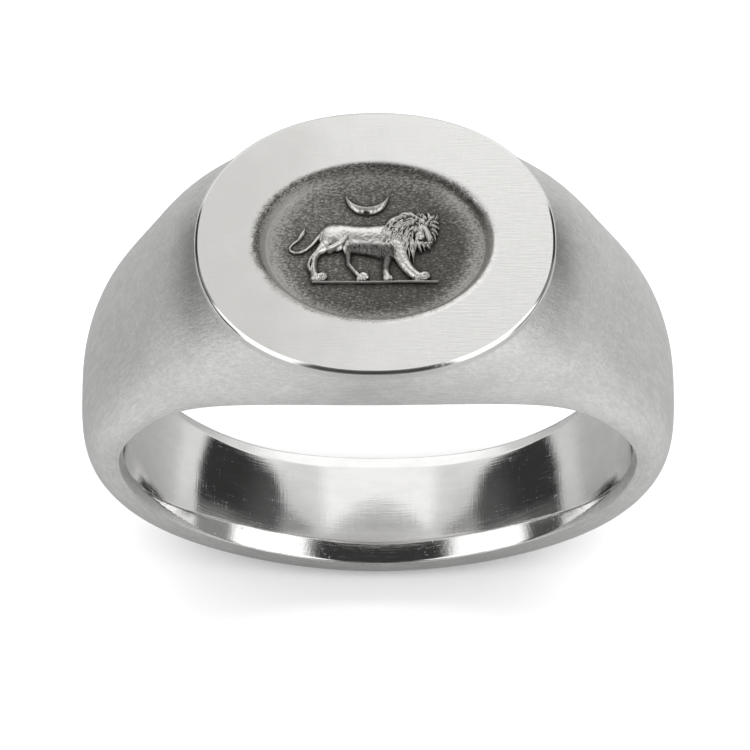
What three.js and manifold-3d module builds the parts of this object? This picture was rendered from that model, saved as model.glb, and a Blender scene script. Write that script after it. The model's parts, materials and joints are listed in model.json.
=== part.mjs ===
// A sterling silver signet ring. The shank, shoulders and head are one solid body. A thin oval plate
// is soldered on the head, and an oval window in it shows the sunk seal: a dished tablet, let into the
// head, that carries a lion, a crescent and a ground line in low relief.
//
// Units are millimetres and degrees. The origin is the centre of the finger bore, +Z points out of the
// seal face, Y runs along the finger and +X is to the right of the seal.
import * as THREE from 'three';
import { ParametricGeometry } from 'three/addons/geometries/ParametricGeometry.js';
import { mergeVertices } from 'three/addons/utils/BufferGeometryUtils.js';
import Module from 'manifold-3d';

// The finger bore, and the rounding that opens it out at both rims.
const BORE_RADIUS = 9.5;
const ROUNDING_RISE = 0.32;
const ROUNDING_RUN = 2.2;

// The band's half width along Y, as [degrees from the top, half width].
const BAND_HALF_WIDTH = [[0, 5.62], [30, 4.91], [50, 4.09], [70, 3.6], [90, 3], [120, 2.54],
  [150, 2.25], [180, 2.3]];
// The radius of the crown line, which runs round the outside beyond the face's tips.
const CROWN_RADIUS = [[48, 11.87], [62, 11.28], [76, 11.15], [90, 11.22], [120, 11.48],
  [150, 11.7], [180, 11.5]];
const SHANK_SECTION_POWER = 2.9;
const SHANK_SECTION_FROM = 95;

// The oval face, a superellipse.
const FACE_HEIGHT = 12.05;
const FACE_HALF_LENGTH = 6.66;
const FACE_HALF_WIDTH = 5.49;
const FACE_POWER = 2.14;
const PLATE_THICKNESS = 0.4;
const PLATE_EDGE_CHAMFER = 0.12;
const SOLDER_THICKNESS = 0.1;
const SOLDER_INSET = 0.02;

// The sunk seal: ellipses of one aspect, given by their half lengths along X.
const SEAL_ASPECT = 0.745;
const WINDOW_TOP = 4.4;
const WINDOW_BOTTOM = 4.2;
const DISH_FLOOR = 3.7;
const DISH_DEPTH = 0.2;
const TABLET_OUTSIDE = 4.9;
const TABLET_THICKNESS = 0.7;
const POCKET_CLEARANCE = 0.08;
const FILM_INSET = 0.1;

// How finely the surfaces are faceted.
const HEAD_COLUMNS = 24;
const SHANK_COLUMNS = 60;
const ROUNDING_STEPS = 5;
const FLANK_STEPS = 6;
const OVAL_SEGMENTS = 72;
const SPLINE_SWEEPS = 60;
const SLOPE_STEP = 0.002;

const PLATE_UNDERSIDE = FACE_HEIGHT - PLATE_THICKNESS;
const HEAD_TOP = PLATE_UNDERSIDE - SOLDER_THICKNESS;
const TABLET_UNDERSIDE = PLATE_UNDERSIDE - TABLET_THICKNESS;
const POCKET_FLOOR = TABLET_UNDERSIDE - SOLDER_THICKNESS;
const RELIEF_FLOOR = PLATE_UNDERSIDE - DISH_DEPTH;
const RIM_RADIUS = BORE_RADIUS + ROUNDING_RISE;
const TIP_ANGLE = Math.atan2(FACE_HALF_LENGTH, HEAD_TOP);

const wasm = await Module();
wasm.setup();

const radians = THREE.MathUtils.degToRad;

function material(color, roughness) {
  return new THREE.MeshStandardMaterial({ color, roughness, metalness: 1 });
}

function node(name, geometry, look) {
  const mesh = new THREE.Mesh(geometry, look);
  mesh.name = name;
  return mesh;
}

// A geometry with its shared vertices merged and its zero-area triangles dropped.
function weld(geometry) {
  const bare = new THREE.BufferGeometry();
  bare.setAttribute('position', geometry.getAttribute('position'));
  bare.setIndex(geometry.getIndex());
  const merged = mergeVertices(bare, 1e-4);
  const kept = [];
  const index = merged.index.array;
  for (let i = 0; i < index.length; i += 3) {
    const [a, b, c] = index.slice(i, i + 3);
    if (a !== b && b !== c && c !== a) kept.push(a, b, c);
  }
  return merged.setIndex(kept);
}

function toSolid(geometry) {
  const welded = weld(geometry);
  return new wasm.Manifold(new wasm.Mesh({
    numProp: 3,
    vertProperties: welded.getAttribute('position').array,
    triVerts: new Uint32Array(welded.index.array),
  }));
}

function toGeometry(solid) {
  const mesh = solid.getMesh();
  const geometry = new THREE.BufferGeometry();
  geometry.setAttribute('position', new THREE.BufferAttribute(mesh.vertProperties, 3));
  geometry.setIndex(new THREE.BufferAttribute(mesh.triVerts, 1));
  return geometry;
}

// A cubic spline through [degrees, value] points, with stated slopes at its two ends.
function splineThrough(points, firstSlope, lastSlope) {
  const x = points.map((point) => radians(point[0]));
  const y = points.map((point) => point[1]);
  const slopes = x.map(() => 0);
  const last = x.length - 1;
  slopes[0] = firstSlope;
  slopes[last] = lastSlope;
  for (let sweep = 0; sweep < SPLINE_SWEEPS; sweep++) {
    for (let i = 1; i < last; i++) {
      const before = x[i] - x[i - 1];
      const after = x[i + 1] - x[i];
      const pull = (after / before) * (y[i] - y[i - 1]) + (before / after) * (y[i + 1] - y[i]);
      const sides = after * slopes[i - 1] + before * slopes[i + 1];
      slopes[i] = (3 * pull - sides) / (2 * (before + after));
    }
  }
  return (angle) => {
    const next = x.findIndex((knot) => knot >= angle);
    const i = next < 0 ? last - 1 : Math.max(next - 1, 0);
    const span = x[i + 1] - x[i];
    const t = (angle - x[i]) / span;
    const blend = t * t * (3 - 2 * t);
    const lean = slopes[i] * t * (1 - t) ** 2 - slopes[i + 1] * t * t * (1 - t);
    return y[i] + (y[i + 1] - y[i]) * blend + span * lean;
  };
}

// A point of a superellipse whose turning parameter is t.
function superellipse(halfLength, halfWidth, power, t) {
  const stretch = (value) => Math.sign(value) * Math.abs(value) ** (2 / power);
  return [halfLength * stretch(Math.cos(t)), halfWidth * stretch(Math.sin(t))];
}

// ---- The ring body ----

const bandHalfWidth = splineThrough(BAND_HALF_WIDTH, 0, 0);

// How wide the face is, from its long axis, where a line at this angle from the top meets it.
function faceHalfWidthAt(angle) {
  const along = Math.min(HEAD_TOP * Math.tan(angle) / FACE_HALF_LENGTH, 1);
  return FACE_HALF_WIDTH * (1 - along ** FACE_POWER) ** (1 / FACE_POWER);
}

// The radius that a section's crown would have if the flat top didn't cut it off.
function headCrownRadius(angle) {
  const share = faceHalfWidthAt(angle) / bandHalfWidth(angle);
  const rise = HEAD_TOP / Math.cos(angle) - RIM_RADIUS;
  return RIM_RADIUS + rise / (1 - share ** FACE_POWER) ** (1 / FACE_POWER);
}

const tipRadius = headCrownRadius(TIP_ANGLE);
const tipSlope = (tipRadius - headCrownRadius(TIP_ANGLE - SLOPE_STEP)) / SLOPE_STEP;
const shankCrownRadius = splineThrough(
  [[THREE.MathUtils.radToDeg(TIP_ANGLE), tipRadius], ...CROWN_RADIUS],
  tipSlope,
  0,
);

function sectionPower(angle) {
  const shank = THREE.MathUtils.smoothstep(angle, TIP_ANGLE, radians(SHANK_SECTION_FROM));
  return THREE.MathUtils.lerp(FACE_POWER, SHANK_SECTION_POWER, shank);
}

// One half of a section, as [y, radius] pairs from the bore out to the face's edge or the crown.
function halfSection(angle) {
  const halfWidth = bandHalfWidth(angle);
  const power = sectionPower(angle);
  const onHead = angle < TIP_ANGLE;
  const crown = onHead ? headCrownRadius(angle) : shankCrownRadius(angle);
  const share = onHead ? faceHalfWidthAt(angle) / halfWidth : 0;
  const points = [];
  for (let i = 0; i <= ROUNDING_STEPS; i++) {
    const turn = (Math.PI / 2) * (i / ROUNDING_STEPS);
    points.push([
      halfWidth - ROUNDING_RUN * (1 - Math.sin(turn)),
      BORE_RADIUS + ROUNDING_RISE * (1 - Math.cos(turn)),
    ]);
  }
  const lastTurn = Math.asin(share ** (power / 2));
  for (let i = 1; i <= FLANK_STEPS; i++) {
    const turn = THREE.MathUtils.lerp(Math.PI / 2, lastTurn, i / FLANK_STEPS);
    const [rise, y] = superellipse(crown - RIM_RADIUS, halfWidth, power, turn);
    points.push([y, RIM_RADIUS + rise]);
  }
  return points;
}

// The angles of the columns: closer together at the face's tips, even round the shank.
function columnAngles() {
  const angles = [];
  for (let i = 0; i < HEAD_COLUMNS; i++) {
    const [x] = superellipse(FACE_HALF_LENGTH, 1, FACE_POWER, Math.PI * (1 - i / HEAD_COLUMNS));
    angles.push(Math.atan2(x, HEAD_TOP));
  }
  for (let i = 0; i <= SHANK_COLUMNS; i++) {
    angles.push(THREE.MathUtils.lerp(TIP_ANGLE, 2 * Math.PI - TIP_ANGLE, i / SHANK_COLUMNS));
  }
  return angles;
}

function makeBodySkin() {
  const angles = columnAngles();
  const columns = angles.map((angle) => {
    const fromTop = angle > Math.PI ? 2 * Math.PI - angle : Math.abs(angle);
    const half = halfSection(fromTop);
    const mirrored = half.map(([y, radius]) => [-y, radius]);
    const loop = [...mirrored, ...half.reverse(), mirrored[0]];
    return loop.map(([y, radius]) => new THREE.Vector3(
      radius * Math.sin(angle),
      y,
      radius * Math.cos(angle),
    ));
  });
  const across = columns[0].length - 1;
  const place = (u, v, target) => {
    const column = columns[Math.round(u * (columns.length - 1))];
    target.copy(column[Math.round(v * across)]);
  };
  return new ParametricGeometry(place, columns.length - 1, across);
}

// An upright cylinder on an ellipse of the seal's aspect.
function sealCylinder(halfLength, bottom, top) {
  const cylinder = new THREE.CylinderGeometry(halfLength, halfLength, top - bottom, OVAL_SEGMENTS);
  cylinder.rotateX(Math.PI / 2);
  cylinder.scale(1, SEAL_ASPECT, 1);
  return cylinder.translate(0, 0, (top + bottom) / 2);
}

function makeRingBody() {
  const pocket = sealCylinder(TABLET_OUTSIDE + POCKET_CLEARANCE, POCKET_FLOOR, FACE_HEIGHT);
  const solid = toSolid(makeBodySkin()).subtract(toSolid(pocket));
  return node('ring_body', toGeometry(solid), material(0xb9b9b7, 0.42));
}

// ---- The face plate and the solder under it ----

const faceOutline = (inset) => (turn) => superellipse(
  FACE_HALF_LENGTH - inset,
  FACE_HALF_WIDTH - inset,
  FACE_POWER,
  turn,
);
const sealOutline = (halfLength) => (turn) => [
  halfLength * Math.cos(turn),
  halfLength * SEAL_ASPECT * Math.sin(turn),
];

// A flat frame: a skin over closed outlines at stated heights, the last joined to the first.
function makeFrame(rings) {
  const place = (u, v, target) => {
    const ring = rings[Math.round(v * rings.length) % rings.length];
    const [x, y] = ring.outline(2 * Math.PI * u);
    target.set(x, y, ring.z);
  };
  return weld(new ParametricGeometry(place, OVAL_SEGMENTS, rings.length));
}

function makeFacePlate() {
  const geometry = makeFrame([
    { outline: faceOutline(0), z: PLATE_UNDERSIDE },
    { outline: faceOutline(0), z: FACE_HEIGHT - PLATE_EDGE_CHAMFER },
    { outline: faceOutline(PLATE_EDGE_CHAMFER), z: FACE_HEIGHT },
    { outline: sealOutline(WINDOW_TOP), z: FACE_HEIGHT },
    { outline: sealOutline(WINDOW_BOTTOM), z: PLATE_UNDERSIDE },
  ]);
  return node('face_plate', geometry, material(0xd6d5d1, 0.5));
}

function makePlateSolder() {
  const pocketSide = sealOutline(TABLET_OUTSIDE + POCKET_CLEARANCE);
  const outside = faceOutline(SOLDER_INSET);
  const geometry = makeFrame([
    { outline: outside, z: HEAD_TOP },
    { outline: outside, z: PLATE_UNDERSIDE },
    { outline: pocketSide, z: PLATE_UNDERSIDE },
    { outline: pocketSide, z: HEAD_TOP },
  ]);
  return node('plate_solder', geometry, material(0x8f8d88, 0.6));
}

// ---- The seal tablet and the solder under it ----

function makeSealTablet() {
  const profile = [
    [0, TABLET_UNDERSIDE],
    [TABLET_OUTSIDE, TABLET_UNDERSIDE],
    [TABLET_OUTSIDE, PLATE_UNDERSIDE],
    [WINDOW_BOTTOM, PLATE_UNDERSIDE],
    [DISH_FLOOR, RELIEF_FLOOR],
    [0, RELIEF_FLOOR],
  ];
  const geometry = new THREE.LatheGeometry(
    profile.map(([x, z]) => new THREE.Vector2(x, z)),
    OVAL_SEGMENTS,
  );
  geometry.rotateX(Math.PI / 2);
  geometry.scale(1, SEAL_ASPECT, 1);
  return node('seal_tablet', weld(geometry), material(0x5f5b55, 0.6));
}

function makeTabletSolder() {
  const film = sealCylinder(TABLET_OUTSIDE - FILM_INSET, POCKET_FLOOR, TABLET_UNDERSIDE);
  return node('tablet_solder', weld(film), material(0x8f8d88, 0.6));
}

// ---- The relief ----
// Places are [x, y] on the tablet's floor, from its centre, with +Y towards the crescent.

const LOBE_SLICES = 10;
const LOBE_STACKS = 6;

// Rounded masses of the lion: centre, half length, half width, slant in degrees and height.
const LION_MASSES = [
  { at: [-1.45, 0.25], length: 0.66, width: 0.58, slant: -30, height: 0.34 }, // haunch
  { at: [-0.45, 0.32], length: 1.2, width: 0.42, slant: -2, height: 0.3 }, // barrel
  { at: [0.55, 0.12], length: 0.72, width: 0.6, slant: -35, height: 0.38 }, // chest
  { at: [1.15, 0.55], length: 1.02, width: 0.8, slant: 8, height: 0.4 }, // mane
  { at: [1.95, 0.45], length: 0.48, width: 0.42, slant: -30, height: 0.45 }, // head
  { at: [2.2, 0.12], length: 0.25, width: 0.17, slant: -15, height: 0.36 }, // muzzle
  { at: [-1.82, -0.2], length: 0.46, width: 0.26, slant: 50, height: 0.3 }, // thigh
];
// Limbs of the lion: a chain of [x, y, half width], and its height.
const LION_LIMBS = [
  { // tail
    height: 0.15,
    path: [[-1.8, 0.45, 0.09], [-2.2, -0.04, 0.08], [-2.55, -0.27, 0.07], [-2.87, -0.3, 0.06],
      [-3.03, -0.15, 0.06], [-2.98, 0.03, 0.06], [-2.75, 0.14, 0.06], [-2.66, 0.35, 0.1],
      [-2.56, 0.6, 0.07]],
  },
  { // near hind leg
    height: 0.24,
    path: [[-1.9, -0.2, 0.2], [-2.24, -0.62, 0.11], [-2.28, -0.95, 0.09], [-2.12, -1.32, 0.1],
      [-1.86, -1.38, 0.11]],
  },
  { // far hind leg
    height: 0.2,
    path: [[-1.15, 0.05, 0.26], [-0.84, -0.62, 0.1], [-0.62, -1.05, 0.08], [-0.46, -1.36, 0.09],
      [-0.2, -1.39, 0.1]],
  },
  { // near front leg
    height: 0.28,
    path: [[0.85, -0.1, 0.3], [1.15, -0.72, 0.17], [1.48, -1.15, 0.12], [1.7, -1.36, 0.12],
      [1.98, -1.37, 0.11]],
  },
  { // far front leg
    height: 0.2,
    path: [[0.5, -0.1, 0.22], [0.54, -0.62, 0.13], [0.48, -1.02, 0.1], [0.5, -1.37, 0.1],
      [0.72, -1.39, 0.08]],
  },
];
const PAW_LIMIT = -1.5;

const CRESCENT = {
  center: -0.19,
  hornSpread: 0.775,
  hornTop: 2.17,
  outerBottom: 1.32,
  innerBottom: 1.63,
  height: 0.2,
};
const GROUND = { left: -2.24, right: 2.38, top: -1.53, width: 0.1, height: 0.18 };

function lobe([x, y], length, width, slant, height) {
  const ball = new THREE.SphereGeometry(1, LOBE_SLICES, LOBE_STACKS);
  ball.rotateX(Math.PI / 2);
  ball.scale(length, width, height);
  ball.rotateZ(slant);
  return toSolid(ball.translate(x, y, 0));
}

function limbLobes({ path, height }) {
  return path.slice(1).map(([x, y, width], i) => {
    const [fromX, fromY, fromWidth] = path[i];
    const span = Math.hypot(x - fromX, y - fromY);
    const middle = [(x + fromX) / 2, (y + fromY) / 2];
    const thick = (width + fromWidth) / 2;
    return lobe(middle, span / 2 + thick, thick * 1.15, Math.atan2(y - fromY, x - fromX), height);
  });
}

function makeLion() {
  const masses = LION_MASSES.map(({ at, length, width, slant, height }) => (
    lobe(at, length, width, radians(slant), height)
  ));
  const lobes = [...masses, ...LION_LIMBS.flatMap(limbLobes)];
  const reach = 2 * TABLET_OUTSIDE;
  const room = new THREE.BoxGeometry(reach, reach, reach);
  room.translate(0, PAW_LIMIT + reach / 2, reach / 2);
  const solid = lobes.reduce((whole, part) => whole.add(part)).intersect(toSolid(room));
  return node('lion_relief', toGeometry(solid), material(0xc9c6bf, 0.35));
}

function makeCrescent() {
  const { center, hornSpread, hornTop, outerBottom, innerBottom, height } = CRESCENT;
  const arc = (bottom) => {
    const sag = hornTop - bottom;
    const radius = (hornSpread ** 2 + sag ** 2) / (2 * sag);
    const middle = bottom + radius;
    return { radius, middle, horn: Math.atan2(hornTop - middle, hornSpread) };
  };
  const outer = arc(outerBottom);
  const inner = arc(innerBottom);
  const shape = new THREE.Shape();
  shape.absarc(center, outer.middle, outer.radius, Math.PI - outer.horn, 2 * Math.PI + outer.horn);
  shape.absarc(center, inner.middle, inner.radius, inner.horn, -Math.PI - inner.horn, true);
  const geometry = new THREE.ExtrudeGeometry(shape, {
    depth: height,
    bevelEnabled: false,
    curveSegments: 20,
  });
  return node('crescent_relief', weld(geometry), material(0xc9c6bf, 0.35));
}

function makeGroundLine() {
  const { left, right, top, width, height } = GROUND;
  const bar = new THREE.BoxGeometry(right - left, width, height);
  bar.translate((left + right) / 2, top - width / 2, height / 2);
  return node('ground_line', weld(bar), material(0xc9c6bf, 0.35));
}

const relief = new THREE.Group();
relief.position.z = RELIEF_FLOOR;
relief.add(makeLion(), makeCrescent(), makeGroundLine());

const ring = new THREE.Group();
ring.add(
  makeRingBody(),
  makePlateSolder(),
  makeFacePlate(),
  makeTabletSolder(),
  makeSealTablet(),
  relief,
);

export default ring;
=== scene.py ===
"""Looks for the signet ring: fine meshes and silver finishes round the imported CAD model.

Lengths are worked out in millimetres and turned to metres where a mesh is made. The frame is the
record's: origin at the centre of the finger bore, +Z out of the seal face, Y along the finger.
"""
import json
import math

import bpy
import numpy as np
from mathutils import Matrix, Vector


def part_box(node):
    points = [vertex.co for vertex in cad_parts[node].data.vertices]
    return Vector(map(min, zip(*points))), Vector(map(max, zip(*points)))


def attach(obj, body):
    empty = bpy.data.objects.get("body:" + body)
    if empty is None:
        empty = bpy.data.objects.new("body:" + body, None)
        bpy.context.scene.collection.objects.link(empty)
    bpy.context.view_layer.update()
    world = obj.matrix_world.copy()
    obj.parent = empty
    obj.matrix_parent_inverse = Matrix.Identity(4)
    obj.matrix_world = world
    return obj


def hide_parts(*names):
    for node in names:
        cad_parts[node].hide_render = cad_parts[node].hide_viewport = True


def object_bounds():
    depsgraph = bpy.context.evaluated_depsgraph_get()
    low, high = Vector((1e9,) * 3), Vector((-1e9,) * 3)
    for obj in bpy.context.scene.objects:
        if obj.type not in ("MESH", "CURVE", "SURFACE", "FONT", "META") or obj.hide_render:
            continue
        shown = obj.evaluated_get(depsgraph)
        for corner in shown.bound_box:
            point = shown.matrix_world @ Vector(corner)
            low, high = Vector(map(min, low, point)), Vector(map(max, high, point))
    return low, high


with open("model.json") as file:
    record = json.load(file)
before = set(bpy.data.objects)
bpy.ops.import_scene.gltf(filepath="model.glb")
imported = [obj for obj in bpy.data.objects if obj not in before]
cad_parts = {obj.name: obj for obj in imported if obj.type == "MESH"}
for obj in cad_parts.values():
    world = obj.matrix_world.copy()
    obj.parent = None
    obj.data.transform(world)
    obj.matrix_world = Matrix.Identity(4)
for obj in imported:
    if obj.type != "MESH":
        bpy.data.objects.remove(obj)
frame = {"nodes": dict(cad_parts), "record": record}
cad_low, cad_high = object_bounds()

MM = 0.001

# ---- Sizes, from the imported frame, in millimetres ----


def box_mm(node):
    """The lowest and highest corner of a CAD node, in millimetres."""
    low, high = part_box(node)
    return np.array(low) / MM, np.array(high) / MM


plate_low, plate_high = box_mm("face_plate")
tablet_low, tablet_high = box_mm("seal_tablet")
bore_mount = next(m for m in frame["record"]["mounts"] if m["name"] == "finger_bore")

BORE_RADIUS = bore_mount["dims"]["r_mm"]
FACE_TOP = plate_high[2]
FACE_HALF_LENGTH = plate_high[0]
FACE_HALF_WIDTH = plate_high[1]
# The power of the superellipse that the face's outline and the head's section follow.
FACE_POWER = 2.14
PLATE_UNDERSIDE = plate_low[2]
HEAD_TOP = box_mm("plate_solder")[0][2]
TABLET_HALF_LENGTH = tablet_high[0]
TABLET_UNDERSIDE = tablet_low[2]
POCKET_FLOOR = box_mm("tablet_solder")[0][2]
POCKET_CLEARANCE = 0.08
RELIEF_FLOOR = box_mm("lion_relief")[0][2]
SEAL_ASPECT = tablet_high[1] / tablet_high[0]

# The band's half width along Y and the crown's radius, as [degrees from the top, millimetres].
BAND_HALF_WIDTH = [[0, 5.62], [30, 4.91], [50, 4.09], [70, 3.6], [90, 3], [120, 2.54],
                   [150, 2.25], [180, 2.3]]
CROWN_RADIUS = [[48, 11.87], [62, 11.28], [76, 11.15], [90, 11.22], [120, 11.48],
                [150, 11.7], [180, 11.5]]
# The bore opens out towards its rims: a long comfort swell, then a short sloping lip. The lip's
# width goes by the angle from the top, in the same form as above, and is less at the back.
BORE_SWELL_RUN = 2.2
BORE_SWELL_RISE = 0.17
LIP_RUN = [[0, 0.4], [90, 0.42], [115, 0.48], [135, 0.68], [150, 0.8], [180, 0.8]]
BACK_LIP_SHARE = 0.72
LIP_SLOPE = 0.25
LIP_START_ROUND = 0.06
LIP_END_ROUND = 0.1
LIP_END_RISE = 0.02
SHANK_SECTION_POWER = 2.9
SHANK_SECTION_FROM = math.radians(95)
TIP_ANGLE = math.atan2(FACE_HALF_LENGTH, HEAD_TOP)

# ---- Mesh helpers ----


def mesh_object(name, points, faces, materials):
    """An object in the scene, from points in metres and lists of corner numbers."""
    mesh = bpy.data.meshes.new(name)
    mesh.from_pydata(points, [], faces)
    for material in materials:
        mesh.materials.append(material)
    made = bpy.data.objects.new(name, mesh)
    bpy.context.scene.collection.objects.link(made)
    return made


def make_object(name, points, faces, materials, slots=None, sharp=35):
    """A smooth shaded object from points in millimetres, with a material slot for each face."""
    made = mesh_object(name, (np.asarray(points, float) * MM).tolist(), faces, materials)
    mesh = made.data
    if slots is not None:
        mesh.polygons.foreach_set("material_index", np.asarray(slots, np.int32))
    mesh.polygons.foreach_set("use_smooth", [True] * len(mesh.polygons))
    mesh.set_sharp_from_angle(angle=math.radians(sharp))
    mesh.validate()
    mesh.update()
    return made


def add_attribute(made, name, values):
    """Stores one number a vertex, for the materials to read."""
    layer = made.data.attributes.new(name, "FLOAT", "POINT")
    layer.data.foreach_set("value", np.asarray(values, np.float32))


def ring_faces(first, second, flip=False):
    """The quads between two closed rings of the same length, given as vertex numbers."""
    first, second = np.asarray(first), np.asarray(second)
    corners = np.stack([first, np.roll(first, -1), np.roll(second, -1), second], -1)
    return (corners[:, ::-1] if flip else corners).tolist()


SPLINE_SWEEPS = 60


def spline(points, first_slope=0.0, last_slope=0.0):
    """A cubic spline through [degrees, value] points, as a function of radians."""
    x = np.radians([p[0] for p in points])
    y = np.array([p[1] for p in points], float)
    slopes = np.zeros(len(x))
    slopes[0], slopes[-1] = first_slope, last_slope
    for _ in range(SPLINE_SWEEPS):
        for i in range(1, len(x) - 1):
            before, after = x[i] - x[i - 1], x[i + 1] - x[i]
            pull = after / before * (y[i] - y[i - 1]) + before / after * (y[i + 1] - y[i])
            sides = after * slopes[i - 1] + before * slopes[i + 1]
            slopes[i] = (3 * pull - sides) / (2 * (before + after))

    def value(angle):
        i = np.clip(np.searchsorted(x, angle) - 1, 0, len(x) - 2)
        span = x[i + 1] - x[i]
        t = (angle - x[i]) / span
        blend = t * t * (3 - 2 * t)
        lean = slopes[i] * t * (1 - t) ** 2 - slopes[i + 1] * t * t * (1 - t)
        return y[i] + (y[i + 1] - y[i]) * blend + span * lean

    return value


def ease(value, low, high):
    """0 up to low, 1 from high on, with a smooth rise between."""
    t = np.clip((value - low) / (high - low), 0, 1)
    return t * t * (3 - 2 * t)


def stretch(value, power):
    """The coordinate of a superellipse from a cosine or sine."""
    return np.sign(value) * np.abs(value) ** (2 / power)


# ---- The ring body ----

HEAD_COLUMNS = 160
SHANK_COLUMNS = 420
BORE_POINTS = 60
FLANK_POINTS = 44
# How far inside the rim the bore's polish stops, as [degrees from the top, millimetres].
POLISH_INSET = [[0, 0.13], [60, 0.2], [90, 0.36], [110, 0.34], [122, 0.28], [132, 0.16],
                [142, 0.05], [160, 0.03], [180, 0.03]]
# Half the width of the polish's soft end: a least value, and a share of the inset squared.
POLISH_FADE = 0.012
POLISH_FADE_GROWTH = 0.5
polish_inset = spline(POLISH_INSET)
band_half_width = spline(BAND_HALF_WIDTH)
lip_run = spline(LIP_RUN)


def bore_rise(inset, run):
    """How far the bore opens out at a distance inside the rim: a comfort swell, then a lip."""
    swell = BORE_SWELL_RISE * np.clip(1 - inset / BORE_SWELL_RUN, 0, 1) ** 2
    into_lip = np.clip(run - inset, 0, None)
    started = np.minimum(into_lip, LIP_START_ROUND)
    lip = LIP_SLOPE * (started ** 2 / (2 * LIP_START_ROUND) + into_lip - started)
    end = LIP_END_RISE * np.clip(1 - inset / LIP_END_ROUND, 0, 1) ** 2
    return swell + lip + end


def face_half_width_at(angle):
    """Half the face's width along Y, where the ring is cut at an angle from the top."""
    along = np.minimum(HEAD_TOP * np.tan(angle) / FACE_HALF_LENGTH, 1)
    return FACE_HALF_WIDTH * (1 - along ** FACE_POWER) ** (1 / FACE_POWER)


def head_crown(angle):
    """The radius that the head's section would reach on Y = 0 if it weren't cut off flat."""
    share = face_half_width_at(angle) / band_half_width(angle)
    rim = BORE_RADIUS + bore_rise(0, lip_run(angle))
    rise = HEAD_TOP / np.cos(angle) - rim
    return rim + rise / (1 - share ** FACE_POWER) ** (1 / FACE_POWER)


SLOPE_STEP = 0.002
tip_slope = (head_crown(TIP_ANGLE) - head_crown(TIP_ANGLE - SLOPE_STEP)) / SLOPE_STEP
shank_crown = spline([[math.degrees(TIP_ANGLE), head_crown(TIP_ANGLE)]] + CROWN_RADIUS, tip_slope)


def half_section(angle, lip_share=1.0):
    """Points (y, radius, polish) from the bore's middle, over the lip, out to the crown."""
    half_width = band_half_width(angle)
    blend = ease(angle, TIP_ANGLE, SHANK_SECTION_FROM)
    power = FACE_POWER + (SHANK_SECTION_POWER - FACE_POWER) * blend
    on_head = angle < TIP_ANGLE
    crown = head_crown(angle) if on_head else shank_crown(angle)
    share = face_half_width_at(angle) / half_width if on_head else 0.0
    turn = np.linspace(0, math.pi / 2, BORE_POINTS)
    run = min(BORE_SWELL_RUN, half_width)
    inset = run * (1 - np.sin(turn))
    bore_y = half_width - inset
    bore_y[0] = 0
    bore_r = BORE_RADIUS + bore_rise(inset, lip_run(angle) * lip_share)
    rim = bore_r[-1]
    last = math.asin(share ** (power / 2))
    turn = np.linspace(math.pi / 2, last, FLANK_POINTS)[1:]
    flank_y = half_width * stretch(np.sin(turn), power)
    flank_r = rim + (crown - rim) * stretch(np.cos(turn), power)
    end = float(polish_inset(angle))
    soft = POLISH_FADE + POLISH_FADE_GROWTH * end * end
    polish = ease(inset, end - soft, end + soft)
    polish[-1] = 0
    return (np.concatenate([bore_y, flank_y]), np.concatenate([bore_r, flank_r]),
            np.concatenate([polish, np.zeros(len(turn))]))


def column_angles():
    """The angles of the ring's cross sections: closer together where the face's outline is."""
    turn = math.pi * (1 - np.arange(HEAD_COLUMNS) / HEAD_COLUMNS)
    head = np.arctan2(FACE_HALF_LENGTH * stretch(np.cos(turn), FACE_POWER), HEAD_TOP)
    shank = np.linspace(TIP_ANGLE, 2 * math.pi - TIP_ANGLE, SHANK_COLUMNS + 1)[:-1]
    return np.concatenate([head, shank])


def make_ring_body(satin):
    """The body: sections round the bore, the flat top of the head and the tablet's pocket."""
    columns, polish = [], []
    for angle in column_angles():
        turned = min(abs(angle), 2 * math.pi - angle)
        front_y, front_radius, front_shine = half_section(turned)
        back_y, back_radius, back_shine = half_section(turned, BACK_LIP_SHARE)
        y = np.concatenate([-front_y[::-1], back_y[1:]])
        radius = np.concatenate([front_radius[::-1], back_radius[1:]])
        polish.append(np.concatenate([front_shine[::-1], back_shine[1:]]))
        columns.append(np.stack([radius * np.sin(angle), y, radius * np.cos(angle)], -1))
    columns = np.array(columns)
    count, across = columns.shape[:2]
    number = np.arange(count * across).reshape(count, across)
    for column in (0, *range(HEAD_COLUMNS, count)):
        number[column, -1] = number[column, 0]
    faces = []
    for i in range(across - 1):
        faces += ring_faces(number[:, i], number[:, i + 1], flip=True)
    points = list(columns.reshape(-1, 3))

    # The head's flat top, and the pocket in it for the tablet.
    head = range(HEAD_COLUMNS + 1)
    outline = [number[i, -1] for i in head] + [number[i, 0] for i in reversed(head[1:-1])]
    turns = [math.atan2(points[v][1] / FACE_HALF_WIDTH, points[v][0] / FACE_HALF_LENGTH)
             for v in outline]
    previous = outline
    pocket = TABLET_HALF_LENGTH + POCKET_CLEARANCE
    for size, z in ((pocket, HEAD_TOP), (pocket, POCKET_FLOOR)):
        start = len(points)
        points += [[size * math.cos(t), size * SEAL_ASPECT * math.sin(t), z] for t in turns]
        ring = list(range(start, len(points)))
        faces += ring_faces(previous, ring, flip=True)
        previous = ring
    centre = len(points)
    points.append([0, 0, POCKET_FLOOR])
    faces += [[after, v, centre] for v, after in zip(previous, previous[1:] + previous[:1])]
    shine = np.concatenate([np.array(polish).reshape(-1), np.zeros(len(points) - count * across)])
    # Beyond the face both halves of a section end in one point, and the spare one is left out.
    used = np.zeros(len(points), bool)
    for face in faces:
        used[face] = True
    new_number = np.cumsum(used) - 1
    faces = [[int(new_number[v]) for v in face] for face in faces]
    made = make_object("ring_skin", np.array(points)[used], faces, [satin], sharp=40)
    add_attribute(made, "polish", shine[used])
    return made


# ---- The face plate ----

OVAL_STEPS = 480
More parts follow.
